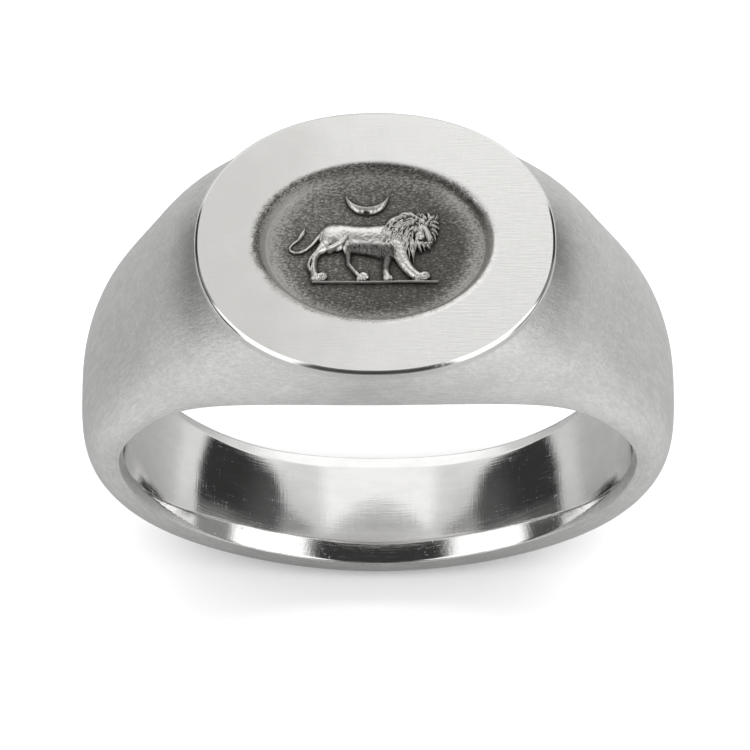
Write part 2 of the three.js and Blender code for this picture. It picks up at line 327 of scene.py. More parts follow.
# The window's half length at its top and bottom, half the width of its rounded upper edge, and
# the length of the 45 degree run at its foot.
WINDOW_TOP = 4.36
WINDOW_BOTTOM = 4.05
WINDOW_EDGE = 0.06
WINDOW_FOOT = 0.15
WINDOW_STEPS = 12
# The bevel's width and height, and how far it bulges.
BEVEL = 0.12
BEVEL_ROUND = 0.014
BEVEL_STEPS = 5
TOP_STEPS = 14


def oval(half_length, half_width, z, power=2):
    """Points round an oval, at a height."""
    turn = np.linspace(0, 2 * math.pi, OVAL_STEPS, endpoint=False)
    x = half_length * stretch(np.cos(turn), power)
    y = half_width * stretch(np.sin(turn), power)
    return np.stack([x, y, np.full_like(x, z)], -1)


def face_ring(inset, z):
    """Points on the face's outline, moved in by an inset."""
    return oval(FACE_HALF_LENGTH - inset, FACE_HALF_WIDTH - inset, z, FACE_POWER)


def seal_ring(half_length, z):
    """Points on an ellipse of the seal's proportions."""
    return oval(half_length, half_length * SEAL_ASPECT, z)


def skin_rings(rings, closed):
    """Points and quads of a skin over rings, joined last to first if closed."""
    size = len(rings[0])
    numbers = [range(i * size, (i + 1) * size) for i in range(len(rings))]
    faces = []
    for first, second in zip(numbers, numbers[1:]):
        faces += ring_faces(first, second)
    if closed:
        faces += ring_faces(numbers[-1], numbers[0])
    return np.concatenate(rings), faces


def make_joint_film(look):
    """The solder film under the plate, filed flush with the sides of the plate and the head."""
    inner = TABLET_HALF_LENGTH + POCKET_CLEARANCE
    outside = [face_ring(0, z) for z in np.linspace(HEAD_TOP, PLATE_UNDERSIDE, 3)]
    inside = [seal_ring(inner, PLATE_UNDERSIDE), seal_ring(inner, HEAD_TOP)]
    points, faces = skin_rings(outside + inside, closed=True)
    return make_object("joint_film", points, faces, [look])


def make_face_plate(matte, polish, satin):
    """The plate: a satin side, a polished bevel round the face, the matte top and the window."""
    rings = [face_ring(0, PLATE_UNDERSIDE)]
    for slide in np.linspace(0, 1, BEVEL_STEPS):
        bulge = BEVEL_ROUND * math.sin(math.pi * slide) * math.sqrt(0.5)
        rings.append(face_ring(BEVEL * slide - bulge, FACE_TOP - BEVEL * (1 - slide) + bulge))
    top_start = len(rings) - 1
    outer, inner = face_ring(BEVEL, FACE_TOP), seal_ring(WINDOW_TOP + WINDOW_EDGE, FACE_TOP)
    for share in np.linspace(0, 1, TOP_STEPS)[1:-1]:
        rings.append(outer + (inner - outer) * share)
    # the window's wall drops steeply, then hollows out to meet the dish at 45 degrees
    wall = [(WINDOW_TOP + WINDOW_EDGE, FACE_TOP), (WINDOW_TOP - WINDOW_EDGE, FACE_TOP),
            (WINDOW_BOTTOM + WINDOW_FOOT, PLATE_UNDERSIDE + WINDOW_FOOT),
            (WINDOW_BOTTOM, PLATE_UNDERSIDE)]
    for t in np.linspace(0, 1, WINDOW_STEPS):
        shares = ((1 - t) ** 3, 3 * t * (1 - t) ** 2, 3 * t * t * (1 - t), t ** 3)
        rings.append(seal_ring(*(sum(k * p[axis] for k, p in zip(shares, wall)) for axis in (0, 1))))
    points, faces = skin_rings(rings, closed=True)
    # the side is satin, the bevel is polished, and the rest is matte
    looks = np.repeat([2] + [1] * (top_start - 1) + [0] * (len(rings) - top_start), OVAL_STEPS)
    return make_object("oval_plate", points, faces, [matte, polish, satin], looks, sharp=22)


# ---- The relief, sculpted as a height field ----

# Places are [x, y] on the seal, widths are half widths, and heights are above the seal's floor.

FIELD_STEP = 0.016
FIELD_LOW = (-3.4, -1.65)
FIELD_HIGH = (2.9, 2.7)
# The places of the field's points, rows along X and columns along Y.
field_x = np.arange(FIELD_LOW[0], FIELD_HIGH[0], FIELD_STEP)
field_y = np.arange(FIELD_LOW[1], FIELD_HIGH[1], FIELD_STEP)
GX, GY = np.meshgrid(field_x, field_y, indexing="ij")


def merge_up(field, added, soft):
    """The higher of two fields, blended where they cross."""
    both = np.clip(np.minimum(field, added) / soft, 0, 1)
    near = np.clip(1 - np.abs(field - added) / soft, 0, 1)
    return np.maximum(field, added) + both * near * near * soft / 4


def mass(field, at, size, slant, height, soft=0.05):
    """Adds a dome on an ellipse."""
    cosine, sine = math.cos(math.radians(slant)), math.sin(math.radians(slant))
    dx, dy = GX - at[0], GY - at[1]
    along = (dx * cosine + dy * sine) / size[0]
    across = (dy * cosine - dx * sine) / size[1]
    dome = height * np.sqrt(np.clip(1 - (along ** 2 + across ** 2), 0, None))
    return merge_up(field, dome, soft)


def limb(field, path, height, soft=0.04, end_height=None):
    """Adds a rounded bar along [x, y, half width] points."""
    dome = np.zeros_like(field)
    end_height = height if end_height is None else end_height
    steps = len(path) - 1
    for i, ((ax, ay, ar), (bx, by, br)) in enumerate(zip(path, path[1:])):
        length2 = (bx - ax) ** 2 + (by - ay) ** 2 + 1e-12
        t = np.clip(((GX - ax) * (bx - ax) + (GY - ay) * (by - ay)) / length2, 0, 1)
        away = np.hypot(GX - ax - t * (bx - ax), GY - ay - t * (by - ay))
        radius = ar + (br - ar) * t
        top = height + (end_height - height) * (i + t) / steps
        dome = np.maximum(dome, top * np.sqrt(np.clip(1 - (away / radius) ** 2, 0, None)))
    return merge_up(field, dome, soft)


def groove(field, path, depth):
    """Cuts a soft groove along [x, y, half width] points."""
    cut = limb(np.zeros_like(field), path, depth)
    return np.maximum(field - cut, 0)


def blur(field, radius_mm):
    """A Gaussian blur of the height field."""
    sigma = radius_mm / FIELD_STEP
    reach = int(3 * sigma) + 1
    weights = np.exp(-0.5 * (np.arange(-reach, reach + 1) / sigma) ** 2)
    weights /= weights.sum()
    for axis in (0, 1):
        padded = np.pad(field, [(reach, reach) if a == axis else (0, 0) for a in (0, 1)], "edge")
        field = sum(w * np.take(padded, range(k, k + field.shape[axis]), axis)
                    for k, w in enumerate(weights))
    return field


LOCK_STEPS = 7
LOCK_TIP = 0.25


def lock(field, start, turn, length, curl, half_width, height):
    """Adds a lock that leaves a point at an angle in degrees, curls as it goes and ends thin."""
    x, y = start
    heading = math.radians(turn)
    step = length / LOCK_STEPS
    bar = []
    for i in range(LOCK_STEPS + 1):
        swell = math.sin(math.pi * min(i / LOCK_STEPS + 0.2, 1))
        bar.append([x, y, half_width * (LOCK_TIP + (1 - LOCK_TIP) * swell)])
        x += step * math.cos(heading)
        y += step * math.sin(heading)
        heading += math.radians(curl) / LOCK_STEPS
    return limb(field, bar, height, soft=0.006, end_height=height * 0.7)


def sculpt_mane(field):
    """The mane: two domes covered in tufts, from the shoulder forward to the face."""
    rng = np.random.default_rng(7)
    # the mass under the locks
    field = mass(field, (0.98, 0.62), (0.7, 0.8), 8, 0.26, soft=0.02)
    field = mass(field, (1.58, 0.72), (0.68, 0.72), 0, 0.28, soft=0.02)
    # tufts over the shoulder and the chest
    for _ in range(64):
        around, share = rng.uniform(0, 2 * math.pi), math.sqrt(rng.uniform(0, 1))
        x = 0.8 + 0.56 * share * math.cos(around)
        y = 0.56 + 0.52 * share * math.sin(around)
        field = lock(field, (x, y), rng.uniform(205, 270), rng.uniform(0.26, 0.42),
                             rng.uniform(-50, 70), rng.uniform(0.035, 0.06), rng.uniform(0.33, 0.42))
    # rows of tufts round the face, the outer rows first: they spring outwards, then hang down
    face_x, face_y = 1.72, 0.6
    for row, (out, count) in enumerate([(1.02, 19), (0.9, 19), (0.78, 18), (0.66, 17), (0.54, 15),
                                        (0.42, 12)]):
        for i in range(count):
            turn = 50 + 200 * (i + 0.5 * (row % 2)) / count + rng.uniform(-9, 9)
            top = 1 - ease(turn, 90, 140)
            reach = out * (1 - 0.25 * top) + rng.uniform(-0.07, 0.07)
            x = face_x + reach * math.cos(math.radians(turn))
            y = face_y + 0.86 * reach * math.sin(math.radians(turn))
            heading = turn + 50 * (1 - top) + rng.uniform(-25, 25)
            curl = (268 - heading) * (1.0 - 0.7 * top) * rng.uniform(0.5, 1.5)
            size = (0.42 - 0.2 * top) * rng.uniform(0.7, 1.3)
            field = lock(field, (x, y), heading, size, curl, rng.uniform(0.035, 0.065),
                                 0.27 + 0.025 * row + rng.uniform(0, 0.08))
    # the ruff on the far side of the face and under the chin
    for k in range(5):
        turn = 50 - 22 * k
        x = 1.94 + 0.16 * math.cos(math.radians(turn))
        y = 0.66 + 0.42 * math.sin(math.radians(turn))
        field = lock(field, (x, y), turn - 25, 0.3, -60, 0.06, 0.31)
    for k in range(6):
        field = lock(field, (1.22 + 0.13 * k, 0.14), -100 + 6 * k, 0.3, rng.uniform(-40, 40),
                             0.06, 0.34)
    return field


def sculpt_head(field):
    """The head in profile: skull, cheek, brow, muzzle, jaw, eye, mouth and ear."""
    field = mass(field, (1.74, 0.62), (0.29, 0.42), 8, 0.4, soft=0.02)
    field = mass(field, (1.62, 0.4), (0.2, 0.22), 30, 0.42, soft=0.02)
    field = limb(field, [[1.78, 0.72, 0.15], [1.93, 0.42, 0.14], [2.0, 0.2, 0.11]], 0.43, soft=0.02)
    field = limb(field, [[1.86, 0.74, 0.05], [2.0, 0.46, 0.05], [2.07, 0.24, 0.055]], 0.47, soft=0.02)
    field = limb(field, [[1.5, 0.13, 0.06], [1.76, 0.06, 0.07], [2.0, 0.07, 0.06]], 0.38, soft=0.01)
    field = mass(field, (1.88, 0.86), (0.12, 0.12), 0, 0.45, soft=0.01)
    field = groove(field, [[1.83, 0.8, 0.025], [1.89, 0.77, 0.03], [1.95, 0.81, 0.02]], 0.09)
    field = groove(field, [[2.05, 0.15, 0.022], [1.9, 0.16, 0.025], [1.76, 0.2, 0.015]], 0.1)
    field = groove(field, [[1.72, 0.66, 0.02], [1.8, 0.5, 0.025], [1.84, 0.34, 0.02]], 0.05)
    return mass(field, (1.46, 1.02), (0.11, 0.07), 55, 0.45, soft=0.01)


def sculpt_lion():
    """The whole lion, built up from its lowest parts."""
    lion = np.zeros_like(GX)
    # far legs, lowest
    lion = limb(lion, [[-1.05, 0.1, 0.22], [-1.0, -0.35, 0.12], [-0.98, -0.68, 0.095],
                       [-0.8, -0.93, 0.08], [-0.64, -1.12, 0.085], [-0.54, -1.26, 0.1]], 0.2)
    lion = limb(lion, [[-1.02, -0.6, 0.05], [-0.88, -0.86, 0.045], [-0.74, -1.04, 0.045]], 0.23)
    lion = mass(lion, (-0.42, -1.15), (0.22, 0.16), -25, 0.19)
    lion = limb(lion, [[0.46, 0.0, 0.26], [0.44, -0.45, 0.16], [0.38, -0.8, 0.13],
                       [0.38, -1.02, 0.13], [0.44, -1.22, 0.15]], 0.2)
    # tail and its tuft
    lion = limb(lion, [[-1.72, 0.86, 0.1], [-1.94, 0.66, 0.085], [-2.2, 0.32, 0.075],
                       [-2.36, 0.1, 0.065], [-2.56, -0.08, 0.06], [-2.78, -0.19, 0.055],
                       [-2.97, -0.2, 0.05], [-3.12, -0.12, 0.045], [-3.16, 0.0, 0.042],
                       [-3.08, 0.13, 0.04], [-2.95, 0.25, 0.04], [-2.83, 0.34, 0.045]], 0.17,
                end_height=0.13)
    lion = limb(lion, [[-2.83, 0.32, 0.05], [-2.74, 0.5, 0.085], [-2.66, 0.64, 0.085],
                       [-2.6, 0.82, 0.02]], 0.2, end_height=0.12)
    # belly, loin, chest and haunch
    lion = limb(lion, [[-0.85, 0.2, 0.3], [-0.2, 0.05, 0.38], [0.45, -0.05, 0.46]], 0.2)
    lion = limb(lion, [[-1.3, 0.6, 0.4], [-0.7, 0.52, 0.4], [-0.1, 0.5, 0.42],
                       [0.4, 0.5, 0.48]], 0.31)
    lion = limb(lion, [[-0.9, 0.2, 0.42], [-0.2, 0.12, 0.44], [0.45, 0.05, 0.46]], 0.27, soft=0.1)
    lion = mass(lion, (0.72, 0.15), (0.46, 0.62), 0, 0.31)
    lion = mass(lion, (-1.5, 0.42), (0.6, 0.58), -20, 0.35)
    lion = limb(lion, [[-1.08, 0.4, 0.09], [-1.3, 0.12, 0.12], [-1.7, -0.1, 0.13]], 0.37)
    # near hind leg
    lion = limb(lion, [[-1.82, 0.1, 0.28], [-2.12, -0.2, 0.14], [-2.24, -0.45, 0.11],
                       [-2.28, -0.8, 0.12], [-2.26, -1.05, 0.14], [-2.2, -1.25, 0.17]], 0.29)
    lion = limb(lion, [[-2.2, -0.22, 0.08], [-2.4, -0.5, 0.075], [-2.46, -0.75, 0.075],
                       [-2.4, -0.95, 0.05]], 0.24)
    # near front leg
    lion = limb(lion, [[0.82, 0.1, 0.36], [0.92, -0.3, 0.3], [1.04, -0.6, 0.25],
                       [1.2, -0.86, 0.22], [1.38, -1.06, 0.2], [1.56, -1.2, 0.2]], 0.31,
                end_height=0.27)
    # paws with toes
    for x, y, high in ((-2.2, -1.3, 0.27), (-0.52, -1.28, 0.22), (0.46, -1.25, 0.21),
                       (1.6, -1.27, 0.29)):
        for k in range(3):
            lion = mass(lion, (x - 0.12 + 0.12 * k, y - 0.02 + 0.01 * k), (0.075, 0.1), 20, high,
                        soft=0.01)
    for x, y in ((-1.98, -1.19), (1.8, -1.17)):
        lion = mass(lion, (x, y), (0.24, 0.18), 10, 0.27, soft=0.05)
        for out in (0.04, 0.12):
            lion = groove(lion, [[x + out, y + 0.02, 0.018], [x + out + 0.04, y - 0.12, 0.018]], 0.06)
    lion = sculpt_head(sculpt_mane(lion))
    # folds of skin and muscle
    for path in ([[-1.9, 0.05, 0.03], [-2.0, 0.3, 0.03], [-1.93, 0.6, 0.02]],
                 [[-0.95, 0.1, 0.04], [-1.0, 0.3, 0.04], [-0.98, 0.45, 0.02]],
                 [[1.0, -0.35, 0.03], [1.12, -0.5, 0.035], [1.02, -0.62, 0.02]]):
        lion = groove(lion, path, 0.02)
    # fur on the belly
    rng = np.random.default_rng(11)
    for _ in range(90):
        x, y = rng.uniform(-0.85, 0.75), rng.uniform(-0.45, 0.08)
        end = [x + rng.uniform(0.02, 0.08), y - rng.uniform(0.08, 0.14), 0.008]
        lion = groove(lion, [[x, y, 0.02], end], 0.03)
    return np.where(GY > -1.39, lion, 0)


def sculpt_crescent():
    """The crescent between two circles, with a worn hollow in its middle."""
    centre_x, outer_y, outer_r = -0.3, 2.2, 0.83
    inner_y, inner_r = 2.62, 0.88
    from_outer = outer_r - np.hypot(GX - centre_x, GY - outer_y)
    from_inner = np.hypot(GX - centre_x, GY - inner_y) - inner_r
    depth = np.clip(np.minimum(from_outer, from_inner), 0, None)
    across = np.clip(from_inner / (from_inner + np.clip(from_outer, 0.001, None)), 0, 1)
    field = 0.24 * np.sqrt(np.clip(depth / 0.1, 0, 1)) * (1 - 0.45 * across)
    hollow = np.exp(-(((GX + 0.33) / 0.17) ** 2 + ((GY - 1.48) / 0.08) ** 2))
    return field * (1 - 0.8 * hollow)


def sculpt_ground_line():
    """The slightly wavy line under the paws."""
    field = np.zeros_like(GX)
    return limb(field, [[-2.3, -1.42, 0.04], [-1.4, -1.425, 0.04], [-0.3, -1.435, 0.045],
                        [0.7, -1.42, 0.04], [1.5, -1.41, 0.05], [2.3, -1.43, 0.04]], 0.17)


def belly_shade():
    """1 where the belly and the far legs lie in shade, 0 elsewhere: there the colour is held at the
    patina's dark as painted shade.
    """
    shade = limb(np.zeros_like(GX), [[-0.9, -0.1, 0.26], [-0.2, -0.14, 0.32], [0.5, -0.26, 0.32]], 0.9)
    for path in ([[-1.0, -0.3, 0.2], [-0.95, -0.7, 0.12]], [[0.44, -0.4, 0.24], [0.38, -0.9, 0.18]]):
        shade = limb(shade, path, 0.75)
    return blur(ease(shade, 0.1, 0.7), 0.05)


def grown(mask):
    """A mask with the points next to it added."""
    wide = mask.copy()
    for dx in (-1, 0, 1):
        for dy in (-1, 0, 1):
            wide |= np.roll(mask, (dx, dy), (0, 1))
    return wide


def quads(number, i, j):
    """The corner numbers of a grid's cells, given the number of each grid point."""
    return np.stack([number[i, j], number[i + 1, j], number[i + 1, j + 1], number[i, j + 1]], -1)


# The grain of the figures: its size and height, and the height from which a figure has it.
GRAIN_SIZE = 0.03
GRAIN_HEIGHT = 0.0035
GRAIN_FROM = 0.02
# The height at which a figure starts, the least height it is given there, and its base's depth.
FIGURE_FROM = 0.004
FIGURE_LEAST = 0.006
FIGURE_SUNK = 0.03


def field_object(name, field, material):
    """A closed mesh over the part of a height field that stands out of the floor."""
    rng = np.random.default_rng(len(name))
    grain = blur(rng.normal(0, 1, field.shape), GRAIN_SIZE)
    grain *= GRAIN_HEIGHT / grain.std()
    field = np.where(field > GRAIN_FROM, field + grain, field)
    # the narrowest gaps are closed, so that no edge belongs to four faces
    inside = ~grown(~grown(field > FIGURE_FROM))
    field = np.where(inside, np.maximum(field, FIGURE_LEAST), field)
    cells = inside[:-1, :-1] | inside[1:, :-1] | inside[:-1, 1:] | inside[1:, 1:]
    used = grown(inside)
    top_number = -np.ones(field.shape, int)
    top_number[used] = np.arange(used.sum())
    base_number = top_number.copy()
    base_number[inside] = used.sum() + np.arange(inside.sum())
    height = np.where(inside, field, -FIGURE_SUNK)
    points = [np.stack([GX[used], GY[used], RELIEF_FLOOR + height[used]], -1)]
    flat = np.full(inside.sum(), RELIEF_FLOOR - FIGURE_SUNK)
    points.append(np.stack([GX[inside], GY[inside], flat], -1))
    i, j = np.nonzero(cells)
    top = quads(top_number, i, j)
    base = quads(base_number, i, j)[:, ::-1]
    faces = np.concatenate([top, base]).tolist()
    made = make_object(name, np.concatenate(points), faces, [material], sharp=180)
    # wear bares the ridges and the high parts and leaves the patina in hollows; on the belly and the
    # far legs it is held back as painted shade
    ridge = field - blur(field, 0.08)
    wear = ease(ridge, -0.05, 0.02) * ease(field, 0.03, 0.17)
    # painted shade: less bare silver on the belly and the far legs
    wear = wear * (1 - 0.75 * belly_shade())
    add_attribute(made, "wear", np.concatenate([wear[used], np.zeros(inside.sum())]))
    return made


# ---- The seal tablet ----

# The half length of the dish's flat floor, and the power by which its slope steepens.
DISH_FLOOR = 3.3
DISH_POWER = 2.2
FLOOR_RINGS = 150
SLOPE_RINGS = 14
CENTRE_DOT = 0.02
# How far the dark hollows beside the figures reach, and how fast they reach full depth.
HOLLOW_REACH = 0.13
HOLLOW_GAIN = 1.7


def sample(field, x, y):
    """A height field's values at points, by the nearest grid point, and 0 off the grid."""
    i = np.rint((x - FIELD_LOW[0]) / FIELD_STEP).astype(int)
    j = np.rint((y - FIELD_LOW[1]) / FIELD_STEP).astype(int)
    inside = (i >= 0) & (i < field.shape[0]) & (j >= 0) & (j < field.shape[1])
    values = field[np.clip(i, 0, field.shape[0] - 1), np.clip(j, 0, field.shape[1] - 1)]
    return np.where(inside, values, 0)


def make_tablet(patina, figures):
    """The tablet: a flat floor that slopes up to the window, and a closed underside."""
    rings = [seal_ring(CENTRE_DOT, RELIEF_FLOOR)]
    for share in np.linspace(0, 1, FLOOR_RINGS)[1:]:
        rings.append(seal_ring(DISH_FLOOR * share, RELIEF_FLOOR))
    for share in np.linspace(0, 1, SLOPE_RINGS)[1:]:
        size = DISH_FLOOR + (WINDOW_BOTTOM - DISH_FLOOR) * share
        rise = (PLATE_UNDERSIDE - RELIEF_FLOOR) * share ** DISH_POWER
        rings.append(seal_ring(size, RELIEF_FLOOR + rise))
    rings.append(seal_ring(TABLET_HALF_LENGTH, PLATE_UNDERSIDE))
    rings.append(seal_ring(TABLET_HALF_LENGTH, TABLET_UNDERSIDE))
    rings.append(seal_ring(CENTRE_DOT, TABLET_UNDERSIDE))
    points, faces = skin_rings(rings[::-1], closed=False)
    count = len(points)
    faces.append(list(range(count - OVAL_STEPS, count)))
    faces.append(list(range(OVAL_STEPS))[::-1])
    made = make_object("seal_dish", points, faces, [patina])
    near = np.clip(blur(np.where(figures > 0.01, 1.0, 0.0), HOLLOW_REACH) * HOLLOW_GAIN, 0, 1)
    add_attribute(made, "hollow", sample(near, points[:, 0], points[:, 1]))
    return made


# ---- Materials ----


class Nodes:
    """A material's node tree, with short calls to add nodes to it."""

    def __init__(self, name):
        self.material = bpy.data.materials.new(name)
        self.material.use_nodes = True
        self.tree = self.material.node_tree
        self.shader = self.tree.nodes["Principled BSDF"]

    def add(self, kind, **settings):
        made = self.tree.nodes.new(kind)
        for key, value in settings.items():
            setattr(made, key, value)
        return made

    def put(self, socket, value):
        """Links a value to a socket, or sets it there."""
        if hasattr(value, "links"):
            self.tree.links.new(value, socket)
        else:
            socket.default_value = value

    def math(self, operation, a, b=0.0):
        made = self.add("ShaderNodeMath", operation=operation)
        self.put(made.inputs[0], a)
        self.put(made.inputs[1], b)
        return made.outputs[0]

    def plus(self, a, b):
        return self.math("ADD", a, b)

    def minus(self, a, b):
        return self.math("SUBTRACT", a, b)

    def times(self, a, b):
        return self.math("MULTIPLY", a, b)

    def ramp(self, value, low, high, out_low=0.0, out_high=1.0):
        """A smooth step from out_low to out_high as the value goes from low to high."""
        made = self.add("ShaderNodeMapRange", interpolation_type="SMOOTHSTEP")
        for socket, given in zip(made.inputs, (value, low, high, out_low, out_high)):
            self.put(socket, given)
        return made.outputs[0]

    def mix(self, share, a, b):
        """Colour a where the share is 0, b where it is 1."""
        made = self.add("ShaderNodeMix", data_type="RGBA")
        self.put(made.inputs["Factor"], share)
        colours = [socket for socket in made.inputs if socket.type == "RGBA"]
        for socket, given in zip(colours, (a, b)):
            self.put(socket, (*given, 1.0) if isinstance(given, tuple) else given)
        return next(socket for socket in made.outputs if socket.type == "RGBA")

    def place(self):
        """The place on the object, in millimetres."""
        return self.scaled(self.add("ShaderNodeTexCoord").outputs["Object"], *[1 / MM] * 3)

    def axes(self, vector):
        """The vector's x, y and z."""
        made = self.add("ShaderNodeSeparateXYZ")
        self.put(made.inputs[0], vector)
        return made.outputs

    def vector(self, x, y, z):
        made = self.add("ShaderNodeCombineXYZ")
        for socket, value in zip(made.inputs, (x, y, z)):
            self.put(socket, value)
        return made.outputs[0]

    def scaled(self, vector, x, y, z):
        made = self.add("ShaderNodeVectorMath", operation="MULTIPLY")
        self.put(made.inputs[0], vector)
        made.inputs[1].default_value = (x, y, z)
        return made.outputs[0]

    def noise(self, vector, scale, detail=3.0, roughness=0.55, distortion=0.0):
        """Noise with so many features a millimetre, or so many along each axis."""
        if isinstance(scale, tuple):
            vector, scale = self.scaled(vector, *scale), 1.0
        made = self.add("ShaderNodeTexNoise")
        self.put(made.inputs["Vector"], vector)
        for key, value in (("Scale", scale), ("Detail", detail), ("Roughness", roughness),
                           ("Distortion", distortion)):
            made.inputs[key].default_value = value
        return made.outputs["Fac"]

    def bump(self, height, strength, depth):
        """A bump with a depth in millimetres."""
        made = self.add("ShaderNodeBump")
        for key, value in (("Strength", strength), ("Distance", depth * MM), ("Height", height)):
            self.put(made.inputs[key], value)
        return made.outputs["Normal"]

    def attribute(self, name):
        return self.add("ShaderNodeAttribute", attribute_name=name).outputs["Fac"]

    def finish(self, **values):
        """Sets the shader's inputs by name, with _ for a space."""
        for key, value in values.items():
            given = (*value, 1.0) if isinstance(value, tuple) else value
            self.put(self.shader.inputs[key.replace("_", " ")], given)
        return self.material

    def metal(self, colour, metallic, roughness, normal):
        """The material of a metal, with its look set."""
        return self.finish(Base_Color=colour, Metallic=metallic, Roughness=roughness, Normal=normal)


def round_the_band(n):
    """Coordinates that follow the band: arc round the bore, distance across it, radius."""
    x, y, z = n.axes(n.place())
    arc = n.times(n.math("ARCTAN2", x, z), BORE_RADIUS)
    return n.vector(arc, y, n.math("SQRT", n.plus(n.times(x, x), n.times(z, z))))


def body_silver():
    """Satin outside, mirror polish in the bore, blended by the mesh's polish values."""
    n = Nodes("satin_silver")
    band = round_the_band(n)
    place = n.place()
    polish = n.attribute("polish")
    grain = n.noise(band, (1.1, 11, 11), 4, 0.65)
    cross = n.noise(place, (8, 4, 8), 5, 0.65)
    fine = n.noise(place, 16, 2, 0.6)
    cloud = n.noise(place, 0.5, 3, 0.5)
    satin_height = n.plus(n.plus(grain, n.times(cross, 0.7)), n.times(fine, 0.35))
    satin_rough = n.ramp(cloud, 0.35, 0.65, 0.36, 0.42)
    hairlines = n.noise(band, (0.6, 12, 12), 4, 0.7)
    along = n.noise(band, (12, 0.7, 12), 4, 0.7)
    haze = n.noise(place, (1.2, 2.2, 1.2), 3, 0.5)
    scuffs = n.plus(hairlines, n.times(along, 0.8))
    scuffed = n.times(n.ramp(scuffs, 0.98, 1.25), 0.34)
    shine_rough = n.plus(n.ramp(haze, 0.4, 0.7, 0.05, 0.09), scuffed)
    patches = n.noise(place, (0.9, 1.4, 0.9), 4, 0.7, 0.4)
    marks = n.plus(satin_height, n.times(patches, 0.6))
    satin_colour = n.mix(n.ramp(marks, 1.1, 1.6), (0.66, 0.66, 0.65), (0.8, 0.8, 0.79))
    shine_colour = n.mix(n.ramp(haze, 0.35, 0.65), (0.86, 0.855, 0.84), (0.9, 0.895, 0.885))
    colour = n.mix(polish, satin_colour, shine_colour)
    satin = n.minus(1.0, polish)
    rough = n.plus(n.times(satin_rough, satin), n.times(shine_rough, polish))
    height = n.plus(n.times(satin_height, satin), n.times(scuffs, n.times(polish, 0.15)))
    return n.metal(colour, 1.0, rough, n.bump(height, 0.5, 0.03))


def side_silver():
    """The filed side of the plate and its solder, satin like the body."""
    n = Nodes("side_silver")
    place = n.place()
    grain = n.noise(place, (4, 4, 12), 4, 0.6)
    fine = n.noise(place, 16, 2, 0.6)
    colour = n.mix(n.ramp(grain, 0.3, 0.7), (0.67, 0.67, 0.66), (0.75, 0.75, 0.74))
    rough = n.ramp(grain, 0.3, 0.7, 0.36, 0.42)
    return n.metal(colour, 1.0, rough, n.bump(n.plus(grain, fine), 0.2, 0.03))


def edge_silver():
    """The polished bevel, with fine lines along it and a few nicks."""
    n = Nodes("edge_silver")
    place = n.place()
    lines = n.noise(place, (1.5, 1.5, 24), 3, 0.6)
    nicks = n.ramp(n.noise(place, 2.6, 3, 0.6), 0.6, 0.75)
    rough = n.plus(n.ramp(lines, 0.3, 0.7, 0.09, 0.16), n.times(nicks, 0.12))
    return n.metal((0.88, 0.875, 0.86), 1.0, rough, n.bump(n.plus(lines, nicks), 0.06, 0.02))


# The patina's outline, a little off the window's centre, as it was wiped by hand.
PATINA_CENTRE = (-0.1, 0.0)
PATINA_HALF_LENGTH = 4.41
PATINA_ASPECT = 0.757


